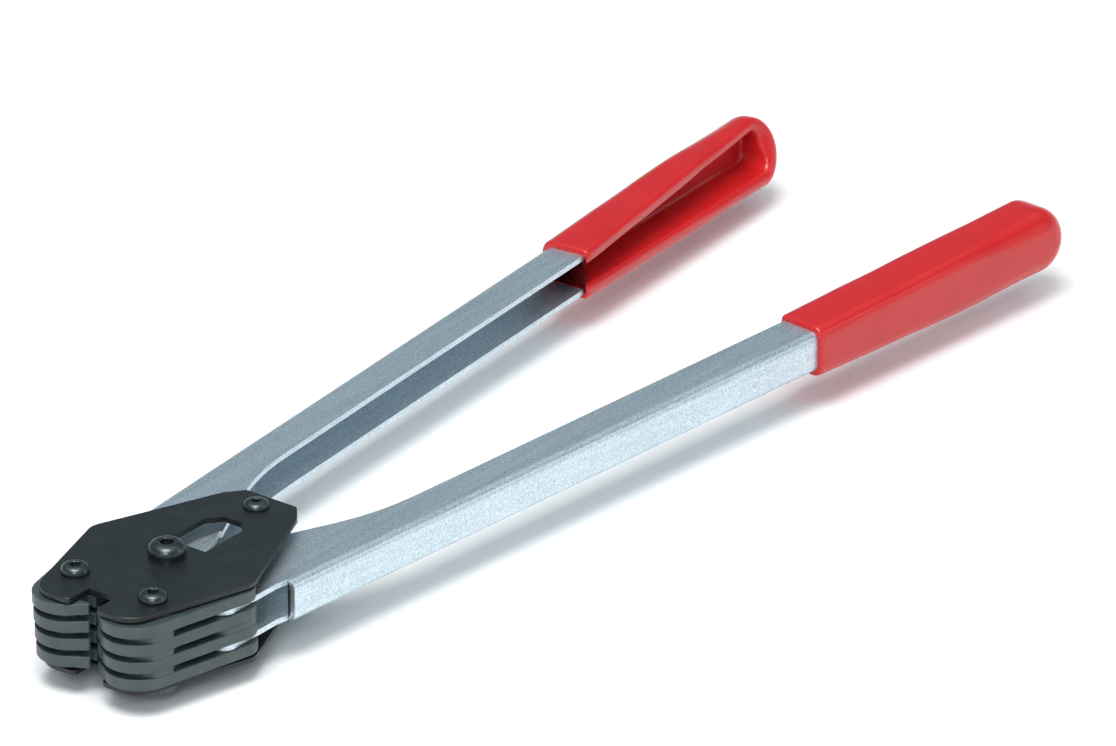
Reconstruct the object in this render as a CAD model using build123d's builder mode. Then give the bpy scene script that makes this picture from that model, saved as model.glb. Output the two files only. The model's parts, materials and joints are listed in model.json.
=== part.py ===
"""Hand strapping sealer: a laminated jaw head worked by two channel handles.

+Y runs from the seal mouth to the grips, +X to the user's right, +Z out of the screw-head side.
The origin is the middle of the seal mouth. The jaws are shut at rest.
"""
from math import cos, radians, sin, tan
import os

from build123d import *

os.makedirs("parts", exist_ok=True)

# ---- driving sizes, in mm ----
# thicknesses in the stack, from one cover to the other
cover_sheet = 2.0
jaw_sheet = 4.4
slot_height = 2.6
shim_sheet = 1.0
handle_sheet = 2.2

# plan positions of the axes, jaws shut
pivot_x = 17.7
pivot_y = 9.0
link_x = 28.7
link_y = 33.4
bolt_y = 38.4
rear_y = 88.4

# seal mouth
strap_width = 12.0
mouth_half = strap_width / 2 + 0.1
mouth_front = -1.9
mouth_back = 2.4
tip_half_gap = 1.9

# covers
cover_front = -9.0
cover_corner_x = 22.0
cover_widest_x = 37.2
cover_widest_y = 41.2
cover_waist_x = 17.0
cover_waist_y = rear_y + 2.2
cover_rear_x = 11.5
cover_rear_y = rear_y + 9.0

# jaws
lobe_radius = 12.9
lobe_x = pivot_x - 2.4
lobe_y = pivot_y - 6.8
boss_radius = 6.8
heel_radius = 8.0
heel_x = link_x + 0.2
heel_y = link_y + 6.2
plate_setback = 0.6
spacer_setback = 3.8

# travel of the centre bolt, and its guide blocks
slide_travel = 20.4
block_half_width = 8.45
block_half_length = 10.9

# handles and grips
handle_angle = 5.0
handle_width = 16.6
handle_bend = 3.5
handle_inner_x = 23.6
handle_inner_y = 76.4
handle_web_start = 61.6
handle_length = 408.0
ear_boss = 9.0
ear_link_boss = 6.0
flare_start = handle_length - 123
flare_height = 2.9
flange_taper = 7.0
grip_cover = 129.0
grip_tip = 13.0
grip_wall = 2.0
grip_inner_wall = 1.3
grip_end_wall = 8.0

# shafts, screws and nuts
post_radius = 5.0
post_head_radius = 8.5
post_head_height = 2.5
pin_radius = 3.0
bolt_radius = 4.0
pivot_screw_radius = 3.0
rear_screw_radius = 2.5
rear_tube_radius = 4.5
screw_reach = 12.0
collar_radius = 6.6
collar_height = 1.6
centre_nut_height = 6.8
rear_nut_height = 4.0

# clearances
running_gap = 0.05
side_gap = 0.1
thread_gap = 0.02
guide_gap = 0.3

# play of the link pin in the ears, where the drawn linkage is opened
link_play_x = 1.45
link_play_y = 0.45
link_shift_y = 0.2

# ---- sizes that follow from them ----
jaw_pitch = jaw_sheet + slot_height
stack_half = (4 * jaw_sheet + 3 * slot_height) / 2
inner_half = stack_half + shim_sheet
head_half = inner_half + cover_sheet
ear_top = jaw_pitch + handle_sheet / 2
ear_bottom = jaw_pitch - handle_sheet / 2
ear_step = handle_sheet + side_gap
block_inner = ear_top + ear_step + side_gap
block_shoulder = inner_half - guide_gap
window_half = block_half_width + running_gap
window_front = bolt_y - block_half_length - running_gap
window_rear = bolt_y + block_half_length + slide_travel + running_gap
window_chamfer = 4.5
throat_side = mouth_half + 0.7
throat_back = mouth_back + 0.4
shoulder_half_gap = tip_half_gap + 1.6
spacer_end = pivot_y - 3.0

slope = tan(radians(handle_angle))
axis_dir = (sin(radians(handle_angle)), cos(radians(handle_angle)), 0)
out_dir = (cos(radians(handle_angle)), -sin(radians(handle_angle)), 0)
web_x = handle_inner_x + (handle_web_start - handle_inner_y) * slope
web_x = web_x + handle_width / cos(radians(handle_angle))
web_corner = (web_x, handle_web_start, 0)


def save(builder, name):
    """Name one finished sub-part after its file and write it."""
    builder.part.label = name
    export_step(builder.part, "parts/" + name + ".step")


# ---- cover plates: notched front, waisted rear, one window for the centre bolt ----
for name, base, front, post_hole in (
    ("top_cover_plate", inner_half, cover_front, pivot_screw_radius + 0.1),
    ("bottom_cover_plate", -head_half, cover_front + 4 * plate_setback, post_radius + running_gap),
):
    with BuildPart() as cover:
        with BuildSketch(Plane.XY.offset(base)) as cover_outline:
            with BuildLine():
                Polyline(
                    (0, mouth_back),
                    (mouth_half, mouth_back),
                    (mouth_half, front),
                    (cover_corner_x, front),
                    (cover_widest_x, cover_widest_y),
                    (cover_waist_x, cover_waist_y),
                    (cover_rear_x, cover_rear_y),
                    (0, cover_rear_y),
                    close=True,
                )
            make_face()
            for corner, corner_radius in (
                ((cover_corner_x, front), 10),
                ((mouth_half, front), 2),
                ((cover_widest_x, cover_widest_y), 8),
                ((cover_waist_x, cover_waist_y), 2),
                ((cover_rear_x, cover_rear_y), 1.5),
            ):
                fillet(cover_outline.vertices().sort_by_distance(corner)[0], radius=corner_radius)
            mirror(about=Plane.YZ)
        extrude(amount=cover_sheet)
        outer_face = cover.faces().sort_by(Axis.Z)[-1 if base > 0 else 0]
        chamfer(outer_face.outer_wire().edges(), length=0.3)
        with BuildSketch(Plane.XY.offset(base)):
            with BuildLine():
                Polyline(
                    (-window_half, window_front),
                    (window_half, window_front),
                    (window_half, window_rear),
                    (window_half - window_chamfer, window_rear + window_chamfer + 1),
                    (-window_half + window_chamfer, window_rear + window_chamfer + 1),
                    (-window_half, window_rear),
                    close=True,
                )
            make_face()
            with Locations((-pivot_x, pivot_y), (pivot_x, pivot_y)):
                Circle(post_hole)
            with Locations((0, rear_y)):
                Circle(rear_screw_radius + side_gap)
        extrude(amount=cover_sheet, mode=Mode.SUBTRACT)
    save(cover, name)

# ---- jaws: four thick plates a side, each with a finger, a throat and a rear boss ----
for level in range(4):
    plate_base = stack_half - jaw_sheet - level * jaw_pitch
    setback = level * plate_setback
    with BuildPart() as right_plate:
        with BuildSketch(Plane.XY.offset(plate_base)):
            with Locations((lobe_x, lobe_y + setback)):
                Circle(lobe_radius)
            with Locations((heel_x, heel_y + setback / 2)):
                Circle(heel_radius)
            make_hull()
            with BuildLine():
                Polyline(
                    (tip_half_gap, mouth_front),
                    (tip_half_gap, mouth_front - 0.9),
                    (tip_half_gap + 0.9, mouth_front - 1.8),
                    (lobe_x - 0.63 * lobe_radius, lobe_y + setback - 0.77 * lobe_radius),
                    (lobe_x, mouth_front - 1.8),
                    (lobe_x, mouth_front),
                    close=True,
                )
            make_face()
            with Locations((throat_side / 2, (mouth_front + throat_back) / 2)):
                Rectangle(throat_side, throat_back - mouth_front, mode=Mode.SUBTRACT)
            with Locations((shoulder_half_gap / 2, throat_back + 5)):
                Rectangle(shoulder_half_gap, 10.1, mode=Mode.SUBTRACT)
            with Locations((pivot_x, pivot_y)):
                Circle(post_radius + running_gap, mode=Mode.SUBTRACT)
            with Locations((link_x, link_y)):
                Circle(pin_radius, mode=Mode.SUBTRACT)
        extrude(amount=jaw_sheet)
    save(right_plate, "right_jaw_plate_" + str(level + 1))
    with BuildPart() as left_plate:
        mirror(right_plate.part, about=Plane.YZ)
    save(left_plate, "left_jaw_plate_" + str(level + 1))

# the spacers stand back from the front lobe and end where the handles' ears swing in
for level in range(3):
    spacer_base = stack_half - jaw_pitch - level * jaw_pitch
    nose_y = lobe_y + (level + 1) * plate_setback
    with BuildPart() as right_spacer:
        with BuildSketch(Plane.XY.offset(spacer_base)):
            with Locations((lobe_x, nose_y)):
                Circle(lobe_radius - 0.1)
            with Locations((heel_x, heel_y)):
                Circle(heel_radius)
            make_hull()
            with BuildLine():
                Polyline(
                    (throat_side + 1, nose_y - lobe_radius + spacer_setback + 3.4),
                    (lobe_x - 3.5, nose_y - lobe_radius + spacer_setback),
                    (lobe_x + 3, nose_y - lobe_radius + spacer_setback - 0.2),
                    (lobe_x + 7.5, nose_y - lobe_radius + spacer_setback + 1.4),
                    (lobe_x + 11.2, nose_y - 5.4),
                    (lobe_x + lobe_radius + 3, nose_y - 2),
                    (lobe_x + lobe_radius + 3, spacer_end),
                    (lobe_x + lobe_radius + 0.4, spacer_end),
                    (pivot_x + 8.5, pivot_y + 4),
                    (pivot_x + 2, pivot_y + 9),
                    (throat_side + 4, pivot_y + 6),
                    (throat_side + 1, mouth_back),
                    close=True,
                )
            make_face(mode=Mode.INTERSECT)
            with Locations((pivot_x, pivot_y)):
                Circle(post_radius + running_gap, mode=Mode.SUBTRACT)
        extrude(amount=slot_height)
    save(right_spacer, "right_jaw_spacer_" + str(level + 1))
    with BuildPart() as left_spacer:
        mirror(right_spacer.part, about=Plane.YZ)
    save(left_spacer, "left_jaw_spacer_" + str(level + 1))

# a pad round the link pin keeps the two middle plates apart at the rear
with BuildPart() as right_rear_spacer:
    with BuildSketch(Plane.XY.offset(-slot_height / 2)):
        with Locations((link_x, link_y)):
            Circle(boss_radius)
        with Locations((heel_x, heel_y + plate_setback / 2)):
            Circle(heel_radius - 0.1)
        make_hull()
        with Locations((link_x, link_y)):
            Circle(pin_radius, mode=Mode.SUBTRACT)
    extrude(amount=slot_height)
save(right_rear_spacer, "right_jaw_rear_spacer")
with BuildPart() as left_rear_spacer:
    mirror(right_rear_spacer.part, about=Plane.YZ)
save(left_rear_spacer, "left_jaw_rear_spacer")

# ---- jaw posts: headed from below, threaded for a button screw from above ----
for name, side in (("right", 1), ("left", -1)):
    with BuildPart() as post:
        with BuildSketch(Plane.XY.offset(-head_half - post_head_height)):
            with Locations((side * pivot_x, pivot_y)):
                Circle(post_head_radius)
        extrude(amount=post_head_height)
        chamfer(post.edges().group_by(Axis.Z)[0], length=0.5)
        with BuildSketch(Plane.XY.offset(-head_half)):
            with Locations((side * pivot_x, pivot_y)):
                Circle(post_radius)
        extrude(amount=head_half + inner_half - thread_gap)
        with BuildSketch(Plane.XY.offset(inner_half - screw_reach - 1)):
            with Locations((side * pivot_x, pivot_y)):
                Circle(pivot_screw_radius + thread_gap)
        extrude(amount=screw_reach + 2, mode=Mode.SUBTRACT)
    save(post, name + "_jaw_post")

    with BuildPart() as pin:
        with BuildSketch(Plane.XY.offset(-stack_half)):
            with Locations((side * link_x, link_y)):
                Circle(pin_radius)
        extrude(amount=2 * stack_half)
        chamfer(pin.edges().filter_by(GeomType.CIRCLE), length=0.4)
    save(pin, name + "_link_pin")

with BuildPart() as shims:
    for base in (stack_half, -inner_half):
        with BuildSketch(Plane.XY.offset(base + thread_gap)):
            with Locations((-pivot_x, pivot_y), (pivot_x, pivot_y)):
                Circle(post_head_radius - 0.5)
                Circle(post_radius + running_gap, mode=Mode.SUBTRACT)
        extrude(amount=shim_sheet - 2 * thread_gap)
save(shims, "pivot_shims")

# ---- button-head screws with hexagon sockets ----
pivot_reach = cover_sheet + screw_reach
rear_reach = 2 * head_half + rear_nut_height + 1
centre_reach = 2 * head_half + 2 * collar_height + centre_nut_height - 1

for name, x, y, base, head_radius, head_height, shank_radius, reach, key in (
    ("right_pivot_screw", pivot_x, pivot_y, head_half, 5.25, 3.3, pivot_screw_radius, pivot_reach, 4),
    ("left_pivot_screw", -pivot_x, pivot_y, head_half, 5.25, 3.3, pivot_screw_radius, pivot_reach, 4),
    ("rear_screw", 0, rear_y, head_half, 4.75, 2.75, rear_screw_radius, rear_reach, 3),
    ("centre_bolt", 0, bolt_y, head_half + collar_height, 7.0, 4.4, bolt_radius, centre_reach, 5),
):
    with BuildPart() as screw:
        with BuildSketch(Plane.XY.offset(base)):
            with Locations((x, y)):
                Circle(head_radius)
        extrude(amount=head_height)
        fillet(screw.edges().group_by(Axis.Z)[-1], radius=head_height * 0.8)
        with BuildSketch(Plane.XY.offset(base)):
            with Locations((x, y)):
                Circle(shank_radius)
        extrude(amount=-reach)
        chamfer(screw.edges().group_by(Axis.Z)[0], length=0.5)
        with BuildSketch(Plane.XY.offset(base + head_height)):
            with Locations((x, y)):
                RegularPolygon(radius=key / 2, side_count=6, major_radius=False)
        extrude(amount=-head_height * 0.6, mode=Mode.SUBTRACT)
    save(screw, name)

# ---- rear tube and the two nuts ----
with BuildPart() as rear_tube:
    with BuildSketch(Plane.XY.offset(-inner_half + thread_gap)):
        with Locations((0, rear_y)):
            Circle(rear_tube_radius)
            Circle(rear_screw_radius + side_gap, mode=Mode.SUBTRACT)
    extrude(amount=2 * (inner_half - thread_gap))
save(rear_tube, "rear_spacer_tube")

for name, y, top, flats, height, bore in (
    ("rear_nut", rear_y, -head_half, 8.0, rear_nut_height, rear_screw_radius),
    ("centre_nut", bolt_y, -head_half - collar_height, 13.0, centre_nut_height, bolt_radius),
):
    with BuildPart() as nut:
        with BuildSketch(Plane.XY.offset(top - height)):
            with Locations((0, y)):
                RegularPolygon(radius=flats / 2, side_count=6, major_radius=False)
                Circle(bore + thread_gap, mode=Mode.SUBTRACT)
        extrude(amount=height)
    save(nut, name)

# ---- centre slide: a guide block in each window, with collars outside and a sleeve inside ----
for name, sign in (("top_slide_block", 1), ("bottom_slide_block", -1)):
    with BuildPart() as block:
        with BuildSketch(Plane.XY.offset(sign * block_inner)):
            with Locations((0, bolt_y)):
                Rectangle(2 * block_half_width + 5, 2 * block_half_length)
        extrude(amount=sign * (block_shoulder - block_inner))
        with BuildSketch(Plane.XY.offset(sign * block_shoulder)):
            with Locations((0, bolt_y)):
                Rectangle(2 * block_half_width, 2 * block_half_length)
        extrude(amount=sign * (head_half - block_shoulder))
        with BuildSketch(Plane.XY.offset(sign * block_inner)):
            with Locations((0, bolt_y)):
                Circle(bolt_radius + running_gap)
        extrude(amount=sign * (head_half - block_inner), mode=Mode.SUBTRACT)
    save(block, name)

with BuildPart() as collars:
    for base in (head_half, -head_half - collar_height):
        with BuildSketch(Plane.XY.offset(base)):
            with Locations((0, bolt_y)):
                Circle(collar_radius)
                Circle(bolt_radius + running_gap, mode=Mode.SUBTRACT)
        extrude(amount=collar_height)
save(collars, "centre_collars")

with BuildPart() as sleeve:
    with BuildSketch(Plane.XY.offset(-ear_bottom + side_gap)):
        with Locations((0, bolt_y)):
            Circle(collar_radius)
            Circle(bolt_radius + running_gap, mode=Mode.SUBTRACT)
    extrude(amount=2 * (ear_bottom - side_gap))
save(sleeve, "centre_sleeve")

# ---- handles: folded channel with two flat ears, the lower one stepped out past the other handle's ----
flange_join = bolt_y + 104
flange_join_x = handle_inner_x + (flange_join - handle_inner_y) * slope
ear_out = link_x + ear_link_boss - 0.1

with BuildSketch() as ear_plan:
    with Locations((0, bolt_y)):
        Circle(ear_boss)
    with Locations((link_x, link_y)):
        Circle(ear_link_boss)
    make_hull()
    with BuildLine():
        Polyline((-ear_boss + 0.7, bolt_y + 3.4), (0, bolt_y + 25), (14, bolt_y + 54.5))
        Spline(
            (14, bolt_y + 54.5),
            (24.4, bolt_y + 79),
            (flange_join_x, flange_join),
            tangents=((0.44, 1), (slope, 1)),
        )
        Polyline(
            (flange_join_x, flange_join),
            (flange_join_x + handle_width - handle_bend, flange_join),
            (web_x - handle_bend, handle_web_start + 1),
            (ear_out, handle_web_start - 5),
            (ear_out, link_y),
            (link_x, link_y - ear_link_boss + 1),
            (0, bolt_y - ear_boss + 1),
            (-ear_boss + 0.7, bolt_y + 3.4),
        )
    make_face()
    with Locations((0, bolt_y)):
        Circle(bolt_radius + running_gap, mode=Mode.SUBTRACT)
    with Locations((link_x, link_y + link_shift_y)):
        SlotOverall(2 * (pin_radius + link_play_x), 2 * (pin_radius + link_play_y), mode=Mode.SUBTRACT)

# the step runs along a line clear of the jaws and crosses to the ear's inner edge
step_x = 13.0
step_y = bolt_y - 12
step_lean = -7 / 53.5
step_run = 2.4
step_plane = Plane(origin=(step_x, step_y, 0), x_dir=(-1, step_lean, 0), z_dir=(step_lean, 1, 0))

with BuildPart() as stepped_ear:
    with BuildSketch(step_plane):
        with BuildLine():
            Polyline(
                (-90, -ear_bottom),
                (0, -ear_bottom),
                (step_run, -ear_bottom - ear_step),
                (60, -ear_bottom - ear_step),
                (60, -ear_top - ear_step),
                (step_run - 0.6, -ear_top - ear_step),
                (-0.6, -ear_top),
                (-90, -ear_top),
                close=True,
            )
        make_face()
    extrude(amount=160, both=True)
    extrude(ear_plan.sketch.moved(Location((0, 0, -20))), amount=20, mode=Mode.INTERSECT)

section_plane = Plane(origin=web_corner, x_dir=out_dir, z_dir=axis_dir)
plan_plane = Plane(origin=web_corner, x_dir=out_dir, z_dir=(0, 0, 1))
side_plane = Plane(origin=web_corner, x_dir=axis_dir, z_dir=out_dir)
channel_stations = ((0, 0), (flare_start, 0), (handle_length, flare_height))

with BuildPart() as right_handle:
    for start, end in zip(channel_stations, channel_stations[1:]):
        for along, growth in (start, end):
            with BuildSketch(section_plane.offset(along)) as outer_section:
                with Locations((-handle_width / 2, 0)):
                    Rectangle(handle_width, 2 * (ear_top + growth))
                fillet(outer_section.vertices().group_by(Axis.X)[-1], radius=handle_bend)
        loft()
    for start, end in zip(channel_stations, channel_stations[1:]):
        for along, growth in (start, end):
            with BuildSketch(section_plane.offset(along)) as inner_section:
                with Locations((-handle_sheet - handle_width, 0)):
                    Rectangle(2 * handle_width, 2 * (ear_bottom + growth))
                fillet(inner_section.vertices().group_by(Axis.X)[-1], radius=handle_bend - handle_sheet)
        loft(mode=Mode.SUBTRACT)
    # the lower flange runs narrower towards the tip
    with BuildSketch(plan_plane):
        with BuildLine():
            Polyline(
                (-handle_width, flare_start),
                (-handle_width + flange_taper, handle_length),
                (-handle_width + flange_taper, handle_length + 1),
                (-handle_width - 1, handle_length + 1),
                (-handle_width - 1, flare_start),
                close=True,
            )
        make_face()
    extrude(amount=-20, mode=Mode.SUBTRACT)
    extrude(ear_plan.sketch.moved(Location((0, 0, ear_bottom))), amount=handle_sheet)
    add(stepped_ear.part)
save(right_handle, "right_handle")

with BuildPart() as left_handle:
    add(right_handle.part.rotate(Axis.Y, 180))
save(left_handle, "left_handle")

# ---- grips: a thick dipped coat, open along the channel's inner side, rounded and closed at the tip ----
grip_start = handle_length - grip_cover
grip_end = handle_length + grip_tip
grip_front_half = ear_top + grip_wall
grip_tip_half = grip_front_half + flare_height
grip_lip = handle_width + grip_wall
grip_lip_taper = flange_taper * (grip_end - flare_start) / (handle_length - flare_start)
pocket_front_half = ear_bottom - grip_inner_wall
pocket_tip_half = pocket_front_half + flare_height
pocket_end = grip_end - grip_end_wall

with BuildPart() as right_grip:
    with BuildSketch(plan_plane.offset(-20)):
        with BuildLine():
            Polyline(
                (grip_wall, grip_start),
                (grip_wall, grip_end),
                (-grip_lip, grip_end),
                (-grip_lip, grip_start),
                close=True,
            )
        make_face()
    extrude(amount=40)
    with BuildSketch(side_plane.offset(-40)):
        with BuildLine():
            Line((grip_start, -grip_front_half), (grip_end - grip_tip_half, -grip_tip_half))
            ThreePointArc(
                (grip_end - grip_tip_half, -grip_tip_half),
                (grip_end, 0),
                (grip_end - grip_tip_half, grip_tip_half),
            )
            Line((grip_end - grip_tip_half, grip_tip_half), (grip_start, grip_front_half))
            Line((grip_start, grip_front_half), (grip_start, -grip_front_half))
        make_face()
    extrude(amount=80, mode=Mode.INTERSECT)
    front_edges = right_grip.faces().sort_by(Axis(origin=web_corner, direction=axis_dir))[0].edges()
    for near_web, edge_radius in ((True, 5.0), (False, 2.5)):
        round_edges = []
        for edge in right_grip.edges() - front_edges:
            across = (edge.center() - Vector(web_corner)).dot(Vector(out_dir))
            is_long = abs(edge.center().Z) < 2 or edge.length > 60
            if is_long and (across > -handle_width / 2) == near_web:
                round_edges.append(edge)
        fillet(round_edges, radius=edge_radius)
    with BuildSketch(side_plane.offset(-handle_sheet - grip_inner_wall)):
        with BuildLine():
            Line((grip_start - 5, -pocket_front_half), (pocket_end - pocket_tip_half, -pocket_tip_half))
            ThreePointArc(
                (pocket_end - pocket_tip_half, -pocket_tip_half),
                (pocket_end, 0),
                (pocket_end - pocket_tip_half, pocket_tip_half),
            )
            Line((pocket_end - pocket_tip_half, pocket_tip_half), (grip_start - 5, pocket_front_half))
            Line((grip_start - 5, pocket_front_half), (grip_start - 5, -pocket_front_half))
        make_face()
    extrude(amount=-40, mode=Mode.SUBTRACT)
    with BuildSketch(plan_plane):
        with BuildLine():
            Polyline(
                (-grip_lip, flare_start),
                (-grip_lip + grip_lip_taper, grip_end),
                (-grip_lip + grip_lip_taper, grip_end + 1),
                (-grip_lip - 1, grip_end + 1),
                (-grip_lip - 1, flare_start),
                close=True,
            )
        make_face()
    extrude(amount=-20, mode=Mode.SUBTRACT)
    add(right_handle.part, mode=Mode.SUBTRACT)
save(right_grip, "right_grip")

with BuildPart() as left_grip:
    add(right_grip.part.rotate(Axis.Y, 180))
save(left_grip, "left_grip")
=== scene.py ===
# %% [markdown]
# # A strapping sealer on a pale table
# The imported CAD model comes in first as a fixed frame. Everything made below takes its place
# from that frame, so the looks can never drift away from the mechanism they belong to.

# %% Load the frame
import json
import math

import bmesh
import bpy
import numpy as np
from mathutils import Matrix, Vector


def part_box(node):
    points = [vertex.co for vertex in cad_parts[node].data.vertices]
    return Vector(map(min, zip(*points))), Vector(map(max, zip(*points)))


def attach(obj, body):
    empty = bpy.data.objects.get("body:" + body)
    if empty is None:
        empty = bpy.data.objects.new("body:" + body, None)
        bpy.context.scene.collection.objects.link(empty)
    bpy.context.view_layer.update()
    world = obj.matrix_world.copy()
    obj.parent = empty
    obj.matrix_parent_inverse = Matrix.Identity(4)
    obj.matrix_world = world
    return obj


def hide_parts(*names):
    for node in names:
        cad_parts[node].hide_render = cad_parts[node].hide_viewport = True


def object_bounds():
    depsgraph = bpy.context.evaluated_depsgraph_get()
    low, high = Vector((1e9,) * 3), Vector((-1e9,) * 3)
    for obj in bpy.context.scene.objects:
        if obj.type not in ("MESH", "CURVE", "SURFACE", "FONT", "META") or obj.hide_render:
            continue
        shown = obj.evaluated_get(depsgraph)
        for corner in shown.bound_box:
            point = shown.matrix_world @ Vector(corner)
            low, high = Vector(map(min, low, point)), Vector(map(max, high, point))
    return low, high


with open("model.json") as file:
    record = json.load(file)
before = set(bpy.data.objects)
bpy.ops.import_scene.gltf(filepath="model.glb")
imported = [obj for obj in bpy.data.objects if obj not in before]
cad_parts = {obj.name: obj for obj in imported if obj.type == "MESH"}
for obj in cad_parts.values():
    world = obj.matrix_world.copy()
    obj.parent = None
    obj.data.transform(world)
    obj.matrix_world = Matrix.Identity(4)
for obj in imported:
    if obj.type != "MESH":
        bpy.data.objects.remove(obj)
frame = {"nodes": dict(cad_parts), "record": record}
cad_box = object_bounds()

mm = 0.001
nodes = frame["nodes"]
slot_of = {part["node"]: part["material_slot"] for part in frame["record"]["subparts"]}
body_of = {
    node: body for body, members in frame["record"]["behaviour"]["bodies"].items() for node in members
}

# %% [markdown]
# ## Small helpers
# Colours are picked on a screen, so they are sRGB hex values, while a shader works in
# linear light. One function does that change. A second adds a node and makes its links, which
# keeps each material below short enough to read as a recipe.


# %% Colour and node helpers
def linear(hex_colour):
    """sRGB to linear: below 0.04045 divide by 12.92, above it raise (c + 0.055) / 1.055 to 2.4."""
    srgb = np.array([int(hex_colour[i : i + 2], 16) for i in (1, 3, 5)]) / 255
    light = np.where(srgb <= 0.04045, srgb / 12.92, ((srgb + 0.055) / 1.055) ** 2.4)
    return (*light.tolist(), 1.0)


def add_node(tree, kind, links=(), **settings):
    """Adds a node. A setting named after an input sets that input, any other is a property.
    Each link is (output socket, name of this node's input)."""
    node = tree.nodes.new(kind)
    for name, value in settings.items():
        socket_name = name.replace("_", " ")
        if socket_name in node.inputs:
            node.inputs[socket_name].default_value = value
        else:
            setattr(node, name, value)
    for source, name in links:
        tree.links.new(source, node.inputs[name])
    return node


def new_material(name, **surface):
    """A named material with one Principled shader, whose plain values are set on its own sockets."""
    material = bpy.data.materials.new(name)
    material.use_nodes = True
    tree = material.node_tree
    shader = tree.nodes["Principled BSDF"]
    for socket_name, value in surface.items():
        shader.inputs[socket_name.replace("_", " ")].default_value = value
    place = tree.nodes.new("ShaderNodeTexCoord").outputs["Object"]
    return material, tree, shader, place


def ramp_between(tree, source, stops):
    """A colour ramp from a grey value, with its stops given as (position, hex colour)."""
    ramp = add_node(tree, "ShaderNodeValToRGB", [(source, "Fac")])
    while len(ramp.color_ramp.elements) < len(stops):
        ramp.color_ramp.elements.new(0.5)
    for element, (position, colour) in zip(ramp.color_ramp.elements, stops):
        element.position = position
        element.color = linear(colour)
    return ramp.outputs["Color"]


def spread(tree, source, low, high):
    """Maps a grey value from about 0.3..0.7, where noise lives, to low..high."""
    span = add_node(
        tree, "ShaderNodeMapRange", [(source, "Value")], From_Min=0.3, From_Max=0.7, To_Min=low, To_Max=high
    )
    return span.outputs["Result"]


print("helpers ready")

# %% [markdown]
# ## The camera
# A long lens from well away keeps the handles nearly parallel. The view stands 25 degrees above
# the table and looks along the tool from its mouth, a little from its right, so one handle shows
# the outside of its channel and the other the inside.

# %% Camera
view_turn = math.radians(37.55)
view_height = math.radians(25.47)
view_distance = 4152 * mm
frame_shift = (137.9 * mm, 64.67 * mm)
focal_in_frame_widths = 11769 / 1116

view_right = Vector((math.cos(view_turn), math.sin(view_turn), 0))
view_back = Vector(
    (
        math.sin(view_turn) * math.cos(view_height),
        -math.cos(view_turn) * math.cos(view_height),
        math.sin(view_height),
    )
)
view_up = view_back.cross(view_right)
bolt_low, bolt_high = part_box("centre_bolt")
cover_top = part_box("top_cover_plate")[1].z
aim = Vector((0, (bolt_low.y + bolt_high.y) / 2, cover_top))

lens = bpy.data.cameras.new("long_lens")
lens.sensor_width = 36
lens.lens = focal_in_frame_widths * lens.sensor_width
lens.clip_end = 50
camera = bpy.data.objects.new("camera", lens)
camera.matrix_world = Matrix((view_right, view_up, view_back)).transposed().to_4x4()
camera.matrix_world.translation = (
    aim + frame_shift[0] * view_right + frame_shift[1] * view_up + view_distance * view_back
)
bpy.context.scene.collection.objects.link(camera)
bpy.context.scene.camera = camera
bpy.context.scene.view_settings.view_transform = "Standard"
print("camera at", [round(c, 3) for c in camera.matrix_world.translation])

# %% [markdown]
# ## Table and light
# Bare metal has hardly any colour of its own and shows what stands round it. The upright sides of
# the channels mirror the white table in front, and so come out nearly white. The flat tops
# mirror the room behind, which is kept a cool mid grey so that they stay darker than the sides.
# Broad soft lamps keep the shadows faint.

# %% Table
table_z = float(cad_box[0][2])
table_half = 6.0
table_mesh = bpy.data.meshes.new("table")
table_corners = np.array([(-1, -1, 0), (1, -1, 0), (1, 1, 0), (-1, 1, 0)]) * table_half
table_mesh.from_pydata((table_corners + (0, 0, table_z)).tolist(), [], [(0, 1, 2, 3)])
table = bpy.data.objects.new("table", table_mesh)
bpy.context.scene.collection.objects.link(table)
paper = new_material("matt_white_card", Base_Color=linear("#F4F5F5"), Roughness=0.9, Specular_IOR_Level=0.1)[0]
table_mesh.materials.append(paper)
print("table at", round(table_z / mm, 2), "mm")

# %% Room light
room = bpy.data.worlds.new("grey_room")
bpy.context.scene.world = room
room.use_nodes = True
room_tree = room.node_tree
room_direction = room_tree.nodes.new("ShaderNodeTexCoord").outputs["Generated"]
room_split = add_node(room_tree, "ShaderNodeSeparateXYZ", [(room_direction, "Vector")])
room_grey = ramp_between(
    room_tree,
    room_split.outputs["Z"],
    [(0.0, "#E4E9EB"), (0.28, "#8CA0AA"), (0.45, "#536B78"), (0.64, "#71868F"), (0.9, "#FFFFFF")],
)
room_tree.links.new(room_grey, room_tree.nodes["Background"].inputs["Color"])
room_tree.nodes["Background"].inputs["Strength"].default_value = 1.0


def soft_lamp(name, place, size, watts, towards=(0, 0.2, 0)):
    """A square lamp of the given size in metres, turned to face a point."""
    light = bpy.data.lights.new(name, "AREA")
    light.size = size
    light.energy = watts
    lamp = bpy.data.objects.new(name, light)
    lamp.location = place
    lamp.rotation_euler = (Vector(towards) - Vector(place)).to_track_quat("-Z", "Y").to_euler()
    bpy.context.scene.collection.objects.link(lamp)


soft_lamp("overhead_lamp", (0.4, -0.9, 3.0), 1.6, 84)
soft_lamp("front_lamp", (1.6, -2.6, 2.0), 1.2, 38)
soft_lamp("far_right_lamp", (2.2, 1.6, 1.2), 0.8, 6)
print("room and lamps ready")

# %% [markdown]
# ## Black oxide covers
# The two outer plates are mild steel with a black conversion finish. It is thin, so the rolled
# surface shows through as a faint satin mottle. A dielectric shader with a dark base suits it
# better than a metal, because the crystals scatter light and leave only a weak sheen.

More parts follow.
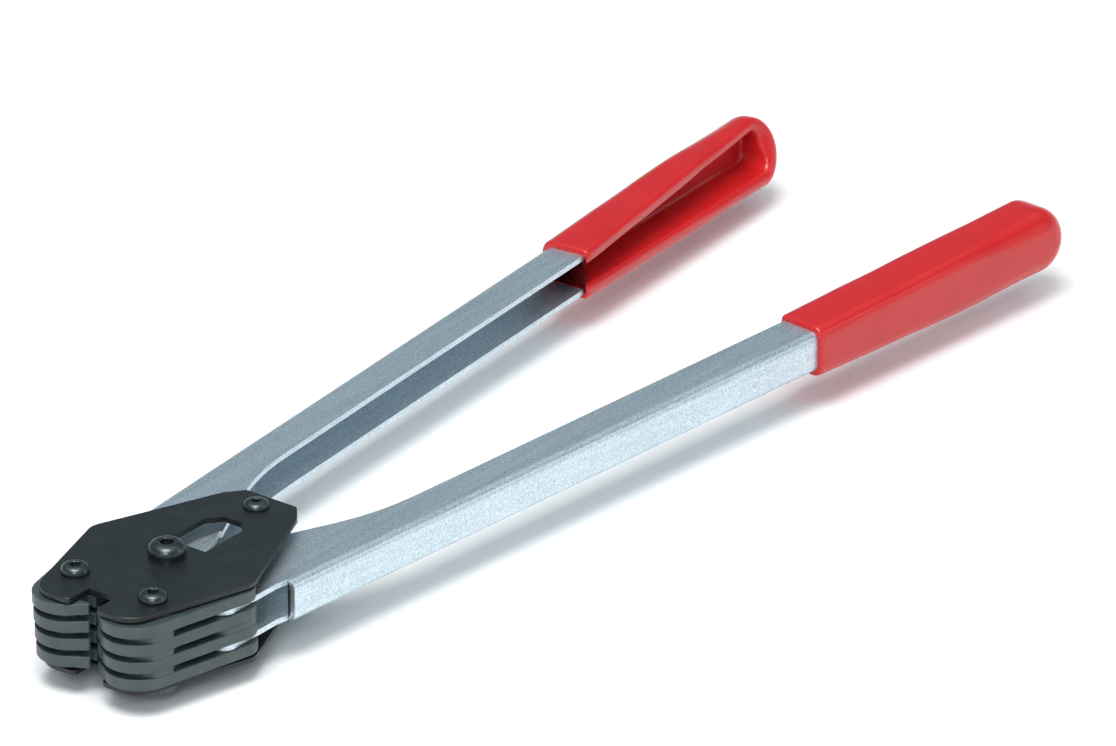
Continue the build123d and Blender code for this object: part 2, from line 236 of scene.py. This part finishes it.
# %% Black oxide
black_oxide, tree, shader, place = new_material("black_oxide_steel", Roughness=0.42, Specular_IOR_Level=0.42)
oxide_cloud = add_node(
    tree, "ShaderNodeTexNoise", [(place, "Vector")], Scale=1 / (9 * mm), Detail=5.0, Roughness=0.6
)
oxide_grain = add_node(
    tree, "ShaderNodeTexNoise", [(place, "Vector")], Scale=1 / (0.5 * mm), Detail=2.0, Roughness=0.6
)
oxide_colour = ramp_between(tree, oxide_cloud.outputs["Fac"], [(0.3, "#121717"), (0.7, "#1A2020")])
tree.links.new(oxide_colour, shader.inputs["Base Color"])
tree.links.new(spread(tree, oxide_cloud.outputs["Fac"], 0.36, 0.48), shader.inputs["Roughness"])
# real grain is finer, and is drawn coarser here so that it shows at this size
oxide_bump = add_node(
    tree, "ShaderNodeBump", [(oxide_grain.outputs["Fac"], "Height")], Strength=0.12, Distance=0.05 * mm
)
tree.links.new(oxide_bump.outputs["Normal"], shader.inputs["Normal"])
print("made", black_oxide.name)

# %% [markdown]
# ## Phosphated jaws
# The thick jaw plates are hardened and phosphated: a slightly green slate grey with a waxy satin.
# Their cut sides show faint upright lines from blanking, so a noise stretched along Z breaks up
# the sheen.

# %% Phosphated jaw steel
jaw_steel, tree, shader, place = new_material("phosphated_jaw_steel", Roughness=0.4, Specular_IOR_Level=0.5)
blank_lines = add_node(tree, "ShaderNodeMapping", [(place, "Vector")], Scale=(1, 1, 0.12))
jaw_lines = add_node(
    tree, "ShaderNodeTexNoise", [(blank_lines.outputs["Vector"], "Vector")], Scale=1 / (0.9 * mm), Detail=3.0
)
jaw_cloud = add_node(
    tree, "ShaderNodeTexNoise", [(place, "Vector")], Scale=1 / (7 * mm), Detail=4.0, Roughness=0.55
)
jaw_colour = ramp_between(tree, jaw_cloud.outputs["Fac"], [(0.3, "#333F40"), (0.7, "#3E4A4B")])
tree.links.new(jaw_colour, shader.inputs["Base Color"])
tree.links.new(spread(tree, jaw_lines.outputs["Fac"], 0.34, 0.46), shader.inputs["Roughness"])
jaw_bump = add_node(
    tree, "ShaderNodeBump", [(jaw_lines.outputs["Fac"], "Height")], Strength=0.1, Distance=0.04 * mm
)
tree.links.new(jaw_bump.outputs["Normal"], shader.inputs["Normal"])
print("made", jaw_steel.name)

# %% [markdown]
# ## Ground steel and blued screws
# Pins, sleeves and shims are bare ground steel: a bright metal with fine scratches round it. The
# screws, nuts and collars are heat-blued, a darker metal with a smooth gloss that picks up one
# sharp highlight on the dome.

# %% Ground steel
bright_steel, tree, shader, place = new_material(
    "ground_steel", Base_Color=linear("#B9BEC0"), Metallic=1.0, Roughness=0.3
)
ground_lines = add_node(tree, "ShaderNodeMapping", [(place, "Vector")], Scale=(0.1, 0.1, 1))
ground_noise = add_node(
    tree, "ShaderNodeTexNoise", [(ground_lines.outputs["Vector"], "Vector")], Scale=1 / (0.3 * mm), Detail=2.0
)
tree.links.new(spread(tree, ground_noise.outputs["Fac"], 0.24, 0.38), shader.inputs["Roughness"])
print("made", bright_steel.name)

# %% Blued screw steel
blued_screw, tree, shader, place = new_material("heat_blued_steel", Metallic=0.85, Roughness=0.3)
blue_cloud = add_node(
    tree, "ShaderNodeTexNoise", [(place, "Vector")], Scale=1 / (3 * mm), Detail=4.0, Roughness=0.6
)
blue_colour = ramp_between(tree, blue_cloud.outputs["Fac"], [(0.3, "#3F4748"), (0.7, "#505859")])
tree.links.new(blue_colour, shader.inputs["Base Color"])
tree.links.new(spread(tree, blue_cloud.outputs["Fac"], 0.24, 0.36), shader.inputs["Roughness"])
print("made", blued_screw.name)

# %% [markdown]
# ## Zinc plated handles
# The channels are pressed from sheet and plated with dull zinc: a fine crystalline grain and a
# cool cast from the passivation. The grain is a small noise that moves both brightness and
# roughness, and a second, long one gives the drawn streaks that run along the pressing.

# %% Zinc plate
zinc_plate, tree, shader, place = new_material("zinc_plated_sheet", Metallic=0.88, Roughness=0.4)
zinc_grain = add_node(
    tree, "ShaderNodeTexNoise", [(place, "Vector")], Scale=1 / (0.8 * mm), Detail=3.0, Roughness=0.7
)
streak_place = add_node(tree, "ShaderNodeMapping", [(place, "Vector")], Scale=(1, 0.03, 1))
zinc_streak = add_node(
    tree, "ShaderNodeTexNoise", [(streak_place.outputs["Vector"], "Vector")], Scale=1 / (2.2 * mm), Detail=3.0
)
zinc_level = add_node(
    tree, "ShaderNodeMix", [(zinc_grain.outputs["Fac"], "A"), (zinc_streak.outputs["Fac"], "B")], Factor=0.18
)
zinc_level = zinc_level.outputs["Result"]
zinc_colour = ramp_between(tree, zinc_level, [(0.38, "#ADBCC6"), (0.62, "#DCE8EE")])
tree.links.new(zinc_colour, shader.inputs["Base Color"])
tree.links.new(spread(tree, zinc_level, 0.34, 0.46), shader.inputs["Roughness"])
zinc_bump = add_node(
    tree, "ShaderNodeBump", [(zinc_grain.outputs["Fac"], "Height")], Strength=0.15, Distance=0.03 * mm
)
tree.links.new(zinc_bump.outputs["Normal"], shader.inputs["Normal"])
print("made", zinc_plate.name)

# %% [markdown]
# ## Red dipped vinyl
# The grips are made by dipping the hot handle in liquid vinyl and baking it. The skin is glossy
# and soft, slightly uneven where it sagged, and lets a little light in, which warms its edges.

# %% Dipped vinyl
red_vinyl, tree, shader, place = new_material(
    "red_dipped_vinyl",
    Roughness=0.25,
    IOR=1.5,
    Subsurface_Weight=0.12,
    Subsurface_Scale=1.5 * mm,
    Subsurface_Radius=(1.0, 0.25, 0.15),
)
vinyl_cloud = add_node(
    tree, "ShaderNodeTexNoise", [(place, "Vector")], Scale=1 / (22 * mm), Detail=3.0, Roughness=0.5
)
vinyl_colour = ramp_between(tree, vinyl_cloud.outputs["Fac"], [(0.15, "#B6181B"), (0.85, "#C82123")])
tree.links.new(vinyl_colour, shader.inputs["Base Color"])
vinyl_sag = add_node(
    tree, "ShaderNodeTexNoise", [(place, "Vector")], Scale=1 / (6 * mm), Detail=2.0, Roughness=0.4
)
vinyl_bump = add_node(
    tree, "ShaderNodeBump", [(vinyl_sag.outputs["Fac"], "Height")], Strength=0.15, Distance=0.12 * mm
)
tree.links.new(vinyl_bump.outputs["Normal"], shader.inputs["Normal"])
print("made", red_vinyl.name)

# %% Finishes on the CAD nodes
finish_of_slot = {
    "black_oxide": black_oxide,
    "jaw_steel": jaw_steel,
    "bright_steel": bright_steel,
    "blued_screw": blued_screw,
    "zinc_plate": zinc_plate,
    "red_vinyl": red_vinyl,
}
for node, cad_object in nodes.items():
    cad_object.data.materials.clear()
    cad_object.data.materials.append(finish_of_slot[slot_of[node]])
print("finished", len(nodes), "CAD nodes")

# %% [markdown]
# ## Eased edges
# No stamped plate has a truly sharp edge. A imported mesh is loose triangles, so a copy is merged,
# its flat faces are joined again, and a narrow bevel then rounds the real edges only. The thin
# line of light along those edges is what makes the laminated head read as thick steel.


# %% Eased copies
def eased(node, edge_mm, segments=2):
    """A merged copy of a CAD node whose edges sharper than 30 degrees are rounded by edge_mm."""
    mesh = nodes[node].data.copy()
    mesh.name = node + "_eased"
    shape = bmesh.new()
    shape.from_mesh(mesh)
    bmesh.ops.remove_doubles(shape, verts=shape.verts, dist=0.002 * mm)
    bmesh.ops.dissolve_limit(
        shape, angle_limit=math.radians(0.2), verts=shape.verts, edges=shape.edges, delimit={"NORMAL"}
    )
    shape.to_mesh(mesh)
    shape.free()
    if "custom_normal" in mesh.attributes:
        mesh.attributes.remove(mesh.attributes["custom_normal"])
    mesh.shade_smooth()
    copy = bpy.data.objects.new(node + "_eased", mesh)
    bpy.context.scene.collection.objects.link(copy)
    bevel = copy.modifiers.new("eased edges", "BEVEL")
    bevel.width = edge_mm * mm
    bevel.segments = segments
    bevel.limit_method = "ANGLE"
    bevel.angle_limit = math.radians(30)
    bevel.harden_normals = True
    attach(copy, body_of[node])
    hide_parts(node)
    return copy


edge_widths = {"jaw_plate": 0.35, "handle": 0.3, "nut": 0.25}
eased_nodes = [
    (node, width) for node in sorted(nodes) for kind, width in edge_widths.items() if kind in node
]
for node, width in eased_nodes:
    eased(node, width)
print("eased", len(eased_nodes), "nodes")


# %% [markdown]
# ## Surfaces from numbers
# The remaining pieces are grids of points: one parameter runs along a profile and the other
# carries it round an axis or along a path. The faces of a grid follow from its size alone, so one
# function turns any such grid into a mesh.


# %% Grid to mesh
def grid_faces(rows, columns, joined):
    """Quads of a rows by columns grid, each corner's number being row * columns + column.
    Joined columns wrap round from the last to the first."""
    last = columns if joined else columns - 1
    row, column = np.meshgrid(np.arange(rows - 1), np.arange(last), indexing="ij")
    beside = (column + 1) % columns
    here = row * columns
    after = (row + 1) * columns
    quads = (here + column, here + beside, after + beside, after + column)
    return np.stack(quads, axis=-1).reshape(-1, 4)


def piece_from_points(name, points, faces, node, material, crease_degrees=50):
    """A closed mesh, smooth but for edges past the crease, that rides with a CAD node's body and stands
    for that node."""
    mesh = bpy.data.meshes.new(name)
    mesh.from_pydata(points.tolist(), [], faces)
    shape = bmesh.new()
    shape.from_mesh(mesh)
    bmesh.ops.remove_doubles(shape, verts=shape.verts, dist=0.004 * mm)
    bmesh.ops.dissolve_degenerate(shape, edges=shape.edges, dist=0.001 * mm)
    bmesh.ops.recalc_face_normals(shape, faces=shape.faces)
    shape.to_mesh(mesh)
    shape.free()
    mesh.shade_smooth()
    mesh.set_sharp_from_angle(angle=math.radians(crease_degrees))
    mesh.materials.append(material)
    piece = bpy.data.objects.new(name, mesh)
    bpy.context.scene.collection.objects.link(piece)
    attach(piece, body_of[node])
    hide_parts(node)
    return piece


# %% [markdown]
# ## Button-head screws
# A button head is a low dome on a short skirt, with a hexagonal socket that is chamfered at its
# mouth. It is one lathe profile carried round the axis, except that the rows of the socket follow
# a hexagon. Turning the whole screw from its tip to the socket floor keeps it one closed skin.


# %% Screws
def hexagon(angle, across_flats):
    """Radius of a hexagon at an angle: half its width over the cosine of the angle to the nearest flat."""
    to_flat = (angle + math.pi / 6) % (math.pi / 3) - math.pi / 6
    return across_flats / 2 / np.cos(to_flat)


def button_screw(node, seat_node, head_height, shank_radius, socket_width):
    """Rows are (radius, height, how hexagonal), columns go round. A point's radius is the round one
    and the hexagon's, mixed by the third value, and its place is the axis plus that radius turned."""
    low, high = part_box(node)
    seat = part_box(seat_node)[1].z / mm
    tip, top = low.z / mm, high.z / mm
    centre_x, centre_y = (low.x + high.x) / 2, (low.y + high.y) / 2
    head_radius = (high.x - low.x) / 2 / mm
    skirt = 0.24 * head_height
    ring = socket_width * 0.72
    lift = np.linspace(0, math.pi / 2, 12)
    dome_radius = ring + (head_radius - ring) * np.cos(lift)
    dome_height = seat + skirt + (top - seat - skirt) * np.sin(lift)
    point = 0.6
    ease = 0.25
    profile = [(0, tip, 0), (shank_radius - point, tip, 0), (shank_radius, tip + point, 0)]
    profile += [(shank_radius, seat, 0), (head_radius - ease, seat, 0), (head_radius, seat + ease, 0)]
    profile += [(r, z, 0) for r, z in zip(dome_radius, dome_height)]
    mouth = socket_width / 2 + 0.3
    socket_floor = top - 0.62 * head_height
    profile += [(mouth * 1.12, top, 0), (mouth * 1.06, top - 0.05, 0.35), (mouth, top - 0.25, 1)]
    profile += [(mouth, top - 0.3, 1), (mouth, socket_floor, 1), (mouth - 0.2, socket_floor, 1)]
    profile += [(0, socket_floor, 0)]
    radius, height, hexness = np.array(profile, float).T[:, :, None]
    angle = np.linspace(0, 2 * math.pi, 72, endpoint=False)[None, :]
    flats = hexagon(angle, 1.0) * 2
    turned = radius * (1 - hexness + hexness * flats * socket_width / 2 / mouth)
    points = np.stack(
        (turned * np.cos(angle), turned * np.sin(angle), np.broadcast_to(height, turned.shape)), axis=-1
    )
    points = points.reshape(-1, 3) * mm + (centre_x, centre_y, 0)
    faces = grid_faces(len(profile), angle.size, joined=True).tolist()
    return piece_from_points(node + "_turned", points, faces, node, finish_of_slot[slot_of[node]])


# node, what its head sits on, head height, shank radius and socket width, in mm
for screw_row in (
    ("right_pivot_screw", "top_cover_plate", 3.3, 3.0, 4.0),
    ("left_pivot_screw", "top_cover_plate", 3.3, 3.0, 4.0),
    ("rear_screw", "top_cover_plate", 2.75, 2.5, 3.0),
    ("centre_bolt", "centre_collars", 4.4, 4.0, 5.0),
):
    made = button_screw(*screw_row)
    print("turned", made.name, len(made.data.polygons), "faces")


# %% [markdown]
# ## Dipped grips
# The coat wraps the channel like a narrow tray: a web outside, two sides with fat rolled lips, a
# pocket inside and a round closed end. A tray is easy to describe from its outline. Each point of
# the outline has a partner on the middle line, and a profile is carried round from partner to
# outline and back, so that walls, lips and end all come from one short list of distances.


# %% Grip measurements
handle_lean = math.radians(5)
along_dir = np.array((math.sin(handle_lean), math.cos(handle_lean), 0))
across_dir = np.array((math.cos(handle_lean), -math.sin(handle_lean), 0))
up_dir = np.array((0, 0, 1))


def lean_box(node):
    """Lowest and highest of a node's points along, across and above the leaning handle, in mm."""
    coordinates = np.empty(len(nodes[node].data.vertices) * 3, np.float32)
    nodes[node].data.vertices.foreach_get("co", coordinates)
    leaning = coordinates.reshape(-1, 3) @ np.stack((along_dir, across_dir, up_dir), axis=1) / mm
    return leaning.min(0), leaning.max(0)


grip_low, grip_high = lean_box("right_grip")
steel_web = lean_box("right_handle")[1][1]
grip_length = grip_high[0] - grip_low[0]
tip_half = grip_high[2]
web_out = grip_high[1]
lip_in = grip_low[1]
print("grip", round(float(grip_length), 1), "mm long,", round(float(2 * tip_half), 1), "mm deep at the tip")


# %% Grip skin
# in mm: the steel, the coat over it and inside it, the closed end, and how the outline swells
sheet = 2.2
coat = 2.0
pocket_wall = 1.3
tip_wall = 9.0
front_half = 10.1
flare_start = 6.0
lip_taper = 7.6


def arc(depth, across, radius, start, stop, count):
    """Rows of a quarter turn about (depth, across), where each of the three may change along the outline."""
    turn = np.radians(np.linspace(start, stop, count))
    return [(depth + radius * np.cos(a), across + radius * np.sin(a)) for a in turn]


def grip_skin(node, side):
    """A point is its middle-line partner plus (1 - depth / half) of the way to the outline, and stands
    at the profile's place across. The half height swells from the front of the grip to its tip, and
    the bend, the lip and the wall grow rounder and thicker round the closed end."""
    run = grip_length - tip_half
    straight = np.concatenate((np.linspace(0, 2, 12), np.linspace(2, run, 70)[1:]))
    growth = straight / run
    half = front_half + (tip_half - front_half) * growth
    sag = (0.1 * np.sin(straight / 11.0) + 0.06 * np.sin(straight / 4.7 + 1)) * np.sin(np.pi * growth)
    half = half + sag
    turn = np.linspace(math.pi / 2, -math.pi / 2, 41)[1:-1]
    partner_s = np.concatenate((straight, np.full(turn.size, run), straight[::-1]))
    outline_s = np.concatenate((straight, run + tip_half * np.cos(turn), straight[::-1]))
    outline_z = np.concatenate((half, tip_half * np.sin(turn), -half[::-1]))
    reach = np.hypot(outline_s - partner_s, outline_z)
    # how far round the end a point is, from 0 on the straight sides to 1 at the very tip
    endness = np.concatenate((0 * straight, np.cos(turn), 0 * straight))
    near_end = np.clip((outline_s - 0.55 * run) / (0.45 * run), 0, 1)
    near_end = near_end * near_end * (3 - 2 * near_end)
    lower = np.concatenate((0 * straight, ((1 - np.sin(turn)) / 2) ** 3, 0 * straight + 1))
    taper = lip_taper * np.clip((partner_s - flare_start) / (run - flare_start), 0, 1.0)
    # the front bead tucks in over the first couple of millimetres
    bead = np.clip(partner_s / 1.4, 0, 1)
    tuck = 0.9 * (1 - np.sqrt(1 - (1 - bead) ** 2))
    web = web_out - tuck + 0 * reach
    lip = lip_in + taper * lower + 2.0 * endness**2 + tuck
    bend = 4.6 + 4.2 * near_end
    wall = coat + sheet + pocket_wall + 0.2 + (tip_wall - coat - sheet - pocket_wall) * endness**1.5
    roll = np.minimum(wall / 2 - 0.1, 2.2 + 2.2 * near_end)
    floor = steel_web - sheet - pocket_wall + 0 * reach
    rim = floor - 1.6
    middle = 0 * reach + 99.0
    outside = [(middle, web), (0.5 * (bend + reach), web), (bend, web)]
    outside += arc(bend, web - bend, bend, 90, 180, 12)
    outside += [(0 * reach, ((3 - k) * (web - bend) + k * (lip + roll)) / 3) for k in (1, 2)]
    outside += arc(roll, lip + roll, roll, 180, 270, 9)
    inside = arc(wall - roll, lip + roll, roll, 270, 360, 9)
    inside += [(wall, (rim + lip + roll) / 2), (wall, rim)]
    inside += arc(wall + 1.6, rim, 1.6, 180, 90, 6)
    inside += [(middle, floor)]
    depth = np.array([row[0] + tuck for row in outside] + [row[0] - tuck for row in inside])
    across = np.array([row[1] for row in outside + inside])
    inward = np.clip(1 - depth / reach, 0, 1)
    along = grip_low[0] + partner_s + inward * (outline_s - partner_s)
    above = inward * outline_z
    points = (along[..., None] * along_dir + across[..., None] * across_dir + above[..., None] * up_dir) * mm
    points = points.reshape(-1, 3) * (side, 1, side)
    rows, columns = along.shape
    faces = grid_faces(rows, columns, joined=False).tolist()
    first = np.arange(rows) * columns
    faces.append(first.tolist() + (first[::-1] + columns - 1).tolist())
    return piece_from_points(node + "_skin", points, faces, node, red_vinyl)


for grip_node, grip_side in (("right_grip", 1), ("left_grip", -1)):
    skin = grip_skin(grip_node, grip_side)
    print("dipped", skin.name, len(skin.data.polygons), "faces")
